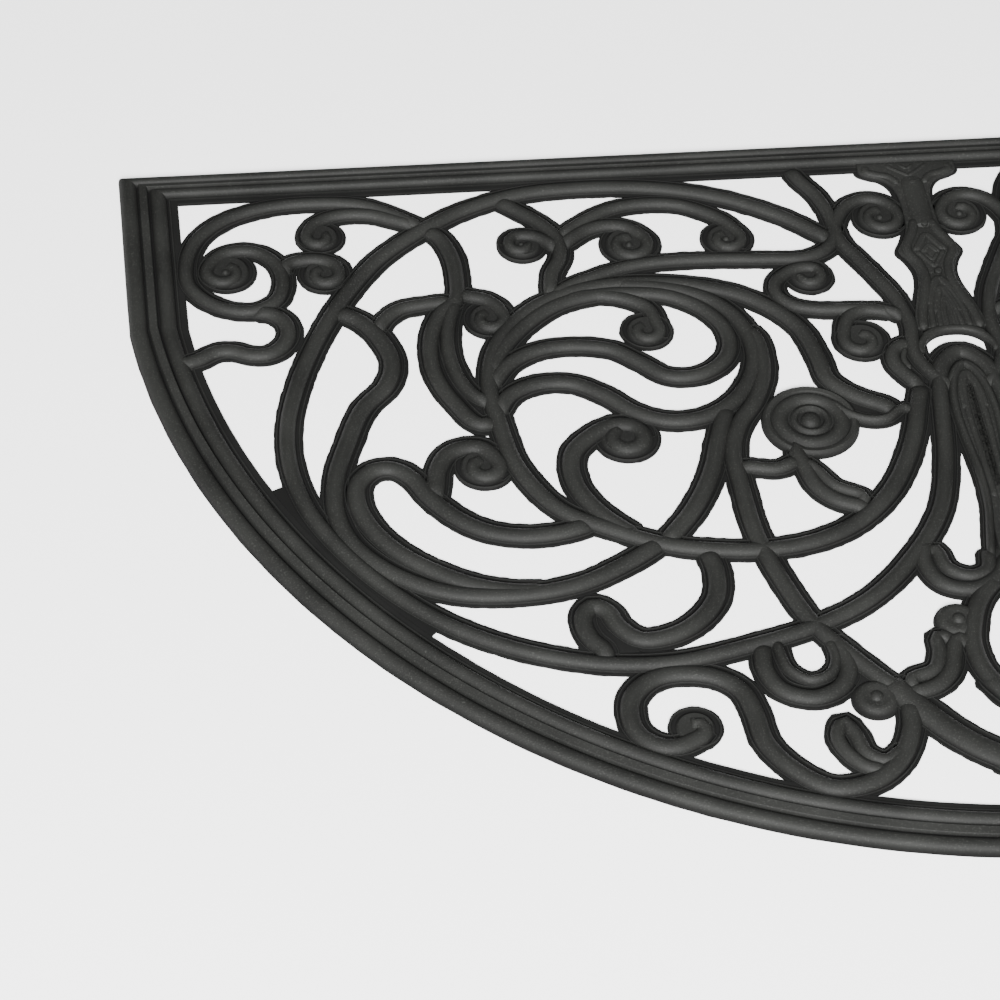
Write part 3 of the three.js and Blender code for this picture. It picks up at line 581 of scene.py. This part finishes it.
def border_section():
    outer, inner = (half_round(band["half"], band["foot"], band["crest"], band["middle"]) for band in BANDS)
    soft = RIB["round"]
    high = RIB["top"] + RIB["lean"]
    rib = [(RIB["from"], RIB["foot"]), (RIB["from"] + 0.1, RIB["top"] - soft), (RIB["from"] + soft, RIB["top"]),
           (RIB["to"] - soft, high), (RIB["to"] - 0.1, high - soft), (RIB["to"], RIB["foot"])]
    step = [(BORDER_STEP["from"], BORDER_FLANGE_TOP - 0.2), (BORDER_STEP["from"] + 0.2, BORDER_STEP["top"]),
            (BORDER_STEP["to"] - 0.2, BORDER_STEP["top"]), (BORDER_STEP["to"], BORDER_FLANGE_TOP)]
    return [(0, 0), *outer, *rib, *inner, *step, (BORDER - 0.4, BORDER_FLANGE_TOP), (BORDER, 1.1), (BORDER, 0)]


def border_places():
    """Stations round the mat, each with its inward direction, mitred at the corners."""
    narrow = STRAIGHT_BORDER / BORDER
    side = WIDTH / 2
    kink = math.acos(side / ARC_RADIUS)
    end = ARC_CENTRE.y - ARC_RADIUS * math.sin(kink)
    arc_normal = Vector((-math.cos(kink), math.sin(kink)))
    mitre = (Vector((-1, 0)) + arc_normal) / (1 + Vector((-1, 0)).dot(arc_normal))
    rows = [(Vector((0, 0)), Vector((0, -narrow))), (Vector((side, 0)), Vector((-1, -narrow)))]
    rows += [(Vector((side, end * share)), Vector((-1, 0))) for share in (0.2, 0.4, 0.6, 0.8, 0.97)]
    rows.append((Vector((side, end)), mitre))
    for i in range(1, ARC_STEPS):
        angle = -kink - (math.pi - 2 * kink) * i / ARC_STEPS
        outward = Vector((math.cos(angle), math.sin(angle)))
        rows.append((ARC_CENTRE + ARC_RADIUS * outward, -outward))
    mirrored = [(Vector((-point.x, point.y)), Vector((-across.x, across.y))) for point, across in rows[1:8]]
    rows += reversed(mirrored)
    places = []
    for point, across in rows:
        along = Vector((-across.y, across.x))
        places.append(Matrix((
            (across.x, along.x, 0, point.x),
            (across.y, along.y, 0, point.y),
            (0, 0, 1, 0),
            (0, 0, 0, 1))))
    return places


def scroll_parts():
    """All the layers of the left half's bars, curls, bosses and rosette."""
    flanges, uppers = [], []
    lines = {bar["name"]: smooth_path(bar["knots"])[::3] for bar in BARS}
    for bar in BARS:
        half = bar["ridge"] / 2
        curl = bar.get("curl")
        others = [point for name, line in lines.items() if name != bar["name"] for point in line]
        knots, first_sunk = seated(bar["knots"], others)
        last_sunk = False
        if not curl:
            knots, last_sunk = seated(knots[::-1], others)
            knots = knots[::-1]
        sunk = (first_sunk or bar.get("sunk", False), last_sunk)
        reach = bar.get("reach", END_REACH)
        path = smooth_path(knots)
        whole = smooth_path([*knots, *spiral(curl)]) if curl else path
        low_path = smooth_path([*knots, *spiral(curl, 0)[:CURL_LEAD]]) if curl else path
        flanges.append(swept(flange_section(half + FLANGE_SPREAD),
                             bar_places(low_path, FLANGE_PITCH, ROW_SHIFT + FLANGE_SHIFT, reach=reach)))
        uppers.append(swept(step_section(half + STEP_SPREAD),
                            bar_places(low_path, RIDGE_PITCH, ROW_SHIFT + STEP_SHIFT, reach=reach)))
        taper = None
        if curl:
            straight = sum((b - a).length for a, b in pairwise(path))
            taper = {"from": straight, "to": CURL_TAPER}
            rim = curl["first"] * 0.75 + curl["last"] * 0.25 + half
            disc = [(0, FLANGE_TOP), (rim + FLANGE_SPREAD - 0.4, FLANGE_TOP), (rim + FLANGE_SPREAD, 1.1),
                    (rim + FLANGE_SPREAD, 0)]
            flanges.append(turned(disc, Vector(curl["centre"]) + FLANGE_SHIFT))
            plinth = [(0, DISC_TOP - 0.4), (rim - 2.4, DISC_TOP), (rim - 1.4, DISC_TOP - 0.8), (rim - 0.8, GROOVE),
                      (rim + LEDGE - 1.1, GROOVE), (rim + LEDGE - 0.75, STEP_TOP - 0.15),
                      (rim + LEDGE - 0.3, STEP_TOP), (rim + LEDGE, STEP_TOP - 0.3), (rim + LEDGE, 0)]
            uppers.append(turned(plinth, Vector(curl["centre"]) + STEP_SHIFT))
            if bar["name"] in EYED:
                eye = [(EYE["radius"] * math.sin(angle), GROOVE + (EYE["top"] - GROOVE) * math.cos(angle))
                       for angle in (0, 0.4, 0.8, 1.2, 1.5)]
                uppers.append(turned([*eye, (EYE["radius"], 0)], curl["centre"], steps=24))
        uppers.append(swept(ridge_section(half * RIDGE_SHARE),
                            bar_places(whole, RIDGE_PITCH, ROW_SHIFT, base=FLANGE_TOP, taper=taper,
                                       reach=reach, sunk=sunk)))
    uppers.append(turned(ROSETTE["profile"], ROSETTE["at"]))
    uppers += [turned(BOSS_PROFILE, boss["at"], steps=40) for boss in BOSSES]
    low = gather(flanges)
    ragged(low, RAGGED, FLANGE_TOP + 0.1)
    return gather([low, *uppers, *ribs()])


def spindle_outline(rows, grow=0.0, shift=ROW_SHIFT):
    """Outline of a piece on the middle line from its half widths, row by row."""
    side = smooth_path([(-row["half"] - grow, row["y"]) for row in rows])
    side = [point for i, point in enumerate(side) if i % 2 == 0 or i == len(side) - 1]
    left = [(min(point.x, -0.3), point.y + shift.y) for point in side]
    return [*left, *[(-x, y) for x, y in reversed(left)]]


def stem_parts():
    parts = [
        plateau(spindle_outline(STEM, 2.0, ROW_SHIFT + FLANGE_SHIFT * 0.5), 0, FLANGE_TOP),
        plateau(spindle_outline(STEM, 0.3), 0, STEM_TOP, 0.8),
        plateau(spindle_outline(LEAF, 1.6, ROW_SHIFT + FLANGE_SHIFT * 0.5), 0, FLANGE_TOP),
        plateau(spindle_outline(LEAF, -0.6), 0, STEM_TOP, 0.8),
        swept(ridge_section(NECK["ridge"] / 2),
              bar_places(smooth_path(NECK["knots"]), RIDGE_PITCH, ROW_SHIFT, base=FLANGE_TOP)),
    ]
    for stud in STUDS:
        dome = [(stud["radius"] * math.sin(angle), CREST + 0.5 * math.cos(angle) - 0.3)
                for angle in (0, 0.4, 0.8, 1.2, 1.5)]
        parts.append(turned([*dome, (stud["radius"], 0)], stud["at"], steps=20))
    return gather(parts)


def ribs():
    """The fine ridges on the left half of the stem and the leaf, and the web beside the stem's foot."""
    parts = []
    for rib in RIBS:
        half = rib["ridge"] / 2
        rise = min(CREST - 0.4, RIB_FOOT + half * RIB_SLOPE)
        section = [(-half, -RIB_FOOT), *half_round(half, 0, rise - RIB_FOOT, steps=8), (half, -RIB_FOOT)]
        knots, _ = seated(rib["knots"])
        parts.append(swept(section, bar_places(smooth_path(knots), 1.4, ROW_SHIFT, base=RIB_FOOT, reach=half)))
    for web in WEBS:
        corners = [(x + ROW_SHIFT.x, y * ROW_STRETCH + ROW_SHIFT.y) for x, y in web["corners"]]
        parts.append(plateau(corners, 0, FLANGE_TOP + 0.4, 0.2))
    return [*parts, rim_web()]


def rim_web():
    """The web between the outer ring and the border, as a band round the arc's centre."""
    corners = []
    for radius, order in ((RIM_WEB["inner"], 1), (RIM_WEB["outer"], -1)):
        row = []
        for i in range(WEB_STEPS + 1):
            angle = math.radians(RIM_WEB["from"] + (RIM_WEB["to"] - RIM_WEB["from"]) * i / WEB_STEPS)
            row.append(tuple(ARC_CENTRE + radius * Vector((math.cos(angle), math.sin(angle)))))
        corners += row[::order]
    return plateau(corners, 0, FLANGE_TOP, 0.2)


def mirror_image(mesh):
    other = mesh.copy()
    bmesh.ops.scale(other, vec=(-1, 1, 1), verts=other.verts)
    bmesh.ops.reverse_faces(other, faces=other.faces)
    return other


# Camera at the photograph's angle: turned about Z, raised and rolled, looking at one point of the floor
CAMERA = {"elevation": 45.632, "yaw": -9.0226, "roll": 3.226, "distance": 1.672, "lens": 137.93,
          "target": (-0.21956, -0.00174, 0.0)}


def add_camera():
    raised, turn, roll = (math.radians(CAMERA[key]) for key in ("elevation", "yaw", "roll"))
    back = Vector((math.sin(turn) * math.cos(raised), -math.cos(turn) * math.cos(raised), math.sin(raised)))
    right = Vector((math.cos(turn), math.sin(turn), 0))
    up = back.cross(right)
    right, up = (math.cos(roll) * right + math.sin(roll) * up, math.cos(roll) * up - math.sin(roll) * right)
    data = bpy.data.cameras.new("camera")
    data.lens = CAMERA["lens"]
    data.sensor_width = 36
    data.clip_end = 50
    camera = bpy.data.objects.new("camera", data)
    camera.matrix_world = Matrix.Translation(Vector(CAMERA["target"]) + back * CAMERA["distance"]) @ Matrix(
        (right, up, back)).transposed().to_4x4()
    bpy.context.scene.collection.objects.link(camera)
    bpy.context.scene.camera = camera


def add_light(name, place, target, size, power):
    data = bpy.data.lights.new(name, "AREA")
    data.shape = "DISK"
    data.size = size
    data.energy = power
    light = bpy.data.objects.new(name, data)
    aim = Vector(target) - Vector(place)
    light.matrix_world = Matrix.Translation(place) @ aim.to_track_quat("-Z", "Y").to_matrix().to_4x4()
    bpy.context.scene.collection.objects.link(light)


def add_studio():
    material = bpy.data.materials.new("pale floor")
    material.use_nodes = True
    material.node_tree.nodes["Principled BSDF"].inputs["Base Color"].default_value = (0.95, 0.95, 0.95, 1)
    material.node_tree.nodes["Principled BSDF"].inputs["Roughness"].default_value = 0.9
    floor = bmesh.new()
    bmesh.ops.create_grid(floor, x_segments=1, y_segments=1, size=4)
    bmesh.ops.translate(floor, vec=(0, 0, -0.0002), verts=floor.verts)
    data = bpy.data.meshes.new("floor")
    floor.to_mesh(data)
    floor.free()
    data.materials.append(material)
    piece = bpy.data.objects.new("floor", data)
    bpy.context.scene.collection.objects.link(piece)

    world = bpy.data.worlds.new("studio")
    world.use_nodes = True
    world.node_tree.nodes["Background"].inputs["Color"].default_value = (1, 1, 1, 1)
    world.node_tree.nodes["Background"].inputs["Strength"].default_value = 0.22
    bpy.context.scene.world = world
    add_light("front soft light", (-0.5, -2.0, 1.7), (-0.15, 0, 0), 1.2, 380)
    add_light("high soft light", (-0.4, 0.2, 2.4), (-0.1, 0, 0), 1.6, 30)


add_camera()
add_studio()
rubber = rubber_material()

left = scroll_parts()
right = mirror_image(left)
border = swept(border_section(), border_places(), closed=True)
ragged(border, 0.25, 1.6)
finished("border", border)
finished("left_scrolls", left)
finished("right_scrolls", right)
finished("stem", stem_parts())
